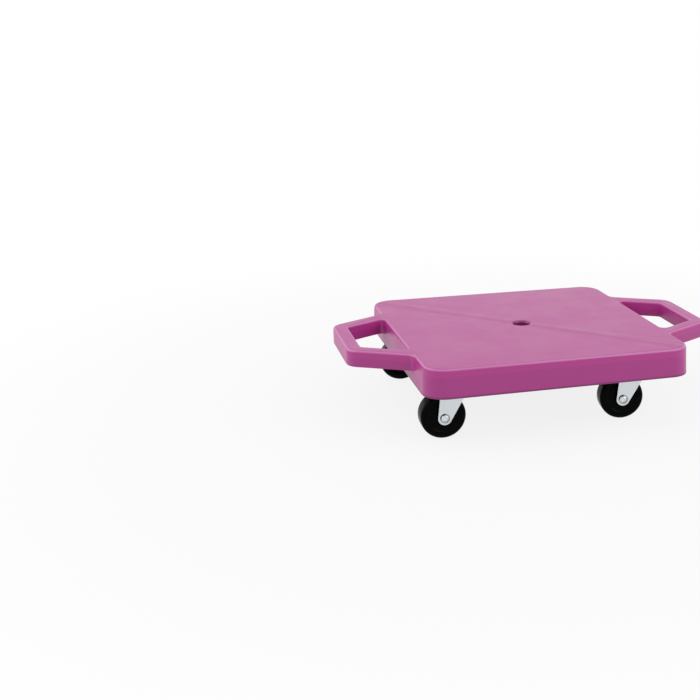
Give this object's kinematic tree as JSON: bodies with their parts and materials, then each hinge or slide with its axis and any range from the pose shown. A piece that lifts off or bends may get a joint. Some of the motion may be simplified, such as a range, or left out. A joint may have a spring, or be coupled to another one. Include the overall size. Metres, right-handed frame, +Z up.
{
  "type": "scooter board",
  "caption": "Square moulded sit-on board with a hand grip on each side, a centre hole and a ribbed underside, on swivel casters.",
  "frame": {"origin": "on the floor below the middle of the deck", "axes": "+X from grip to grip, -Y the front that the picture shows, +Z up"},
  "size_m": [0.437, 0.3074, 0.091],
  "materials": {
    "purple_polyethylene": "satin",
    "zinc_plate": "bright",
    "bearing_steel": "polished",
    "black_polyolefin": "gloss"
  },
  "bodies": {
    "board": {"deck_board": "purple_polyethylene", "front_left_caster_plate": "zinc_plate", "front_left_kingpin": "zinc_plate", "front_left_race_washer": "zinc_plate", "front_left_screw_1": "zinc_plate", "front_left_screw_2": "zinc_plate", "front_left_screw_3": "zinc_plate", "front_left_screw_4": "zinc_plate", "front_right_caster_plate": "zinc_plate", "front_right_kingpin": "zinc_plate", "front_right_race_washer": "zinc_plate", "front_right_screw_1": "zinc_plate", "front_right_screw_2": "zinc_plate", "front_right_screw_3": "zinc_plate", "front_right_screw_4": "zinc_plate", "back_left_caster_plate": "zinc_plate", "back_left_kingpin": "zinc_plate", "back_left_race_washer": "zinc_plate", "back_left_screw_1": "zinc_plate", "back_left_screw_2": "zinc_plate", "back_left_screw_3": "zinc_plate", "back_left_screw_4": "zinc_plate", "back_right_caster_plate": "zinc_plate", "back_right_kingpin": "zinc_plate", "back_right_race_washer": "zinc_plate", "back_right_screw_1": "zinc_plate", "back_right_screw_2": "zinc_plate", "back_right_screw_3": "zinc_plate", "back_right_screw_4": "zinc_plate"},
    "front_left_swivel": {"front_left_fork": "zinc_plate", "front_left_ball_ring": "bearing_steel", "front_left_axle_rivet": "zinc_plate", "front_left_axle_sleeve": "zinc_plate"},
    "front_left_roller": {"front_left_wheel": "black_polyolefin"},
    "front_right_swivel": {"front_right_fork": "zinc_plate", "front_right_ball_ring": "bearing_steel", "front_right_axle_rivet": "zinc_plate", "front_right_axle_sleeve": "zinc_plate"},
    "front_right_roller": {"front_right_wheel": "black_polyolefin"},
    "back_left_swivel": {"back_left_fork": "zinc_plate", "back_left_ball_ring": "bearing_steel", "back_left_axle_rivet": "zinc_plate", "back_left_axle_sleeve": "zinc_plate"},
    "back_left_roller": {"back_left_wheel": "black_polyolefin"},
    "back_right_swivel": {"back_right_fork": "zinc_plate", "back_right_ball_ring": "bearing_steel", "back_right_axle_rivet": "zinc_plate", "back_right_axle_sleeve": "zinc_plate"},
    "back_right_roller": {"back_right_wheel": "black_polyolefin"}
  },
  "joints": [
    {"name": "front_left_swivel_turn", "type": "hinge", "parent": "board", "child": "front_left_swivel", "pos_m": [-0.106, -0.106, 0.0623], "axis": [0, 0, 1], "continuous": true},
    {"name": "front_left_wheel_spin", "type": "hinge", "parent": "front_left_swivel", "child": "front_left_roller", "pos_m": [-0.126, -0.10565, 0.0254], "axis": [0.0175, 0.9998, 0], "continuous": true},
    {"name": "front_right_swivel_turn", "type": "hinge", "parent": "board", "child": "front_right_swivel", "pos_m": [0.106, -0.106, 0.0623], "axis": [0, 0, 1], "continuous": true},
    {"name": "front_right_wheel_spin", "type": "hinge", "parent": "front_right_swivel", "child": "front_right_roller", "pos_m": [0.08619, -0.10322, 0.0254], "axis": [0.1392, 0.9903, 0], "continuous": true},
    {"name": "back_left_swivel_turn", "type": "hinge", "parent": "board", "child": "back_left_swivel", "pos_m": [-0.106, 0.106, 0.0623], "axis": [0, 0, 1], "continuous": true},
    {"name": "back_left_wheel_spin", "type": "hinge", "parent": "back_left_swivel", "child": "back_left_roller", "pos_m": [-0.12585, 0.10844, 0.0254], "axis": [0.1219, 0.9925, 0], "continuous": true},
    {"name": "back_right_swivel_turn", "type": "hinge", "parent": "board", "child": "back_right_swivel", "pos_m": [0.106, 0.106, 0.0623], "axis": [0, 0, 1], "continuous": true},
    {"name": "back_right_wheel_spin", "type": "hinge", "parent": "back_right_swivel", "child": "back_right_roller", "pos_m": [0.08611, 0.10809, 0.0254], "axis": [0.1045, 0.9945, 0], "continuous": true}
  ]
}
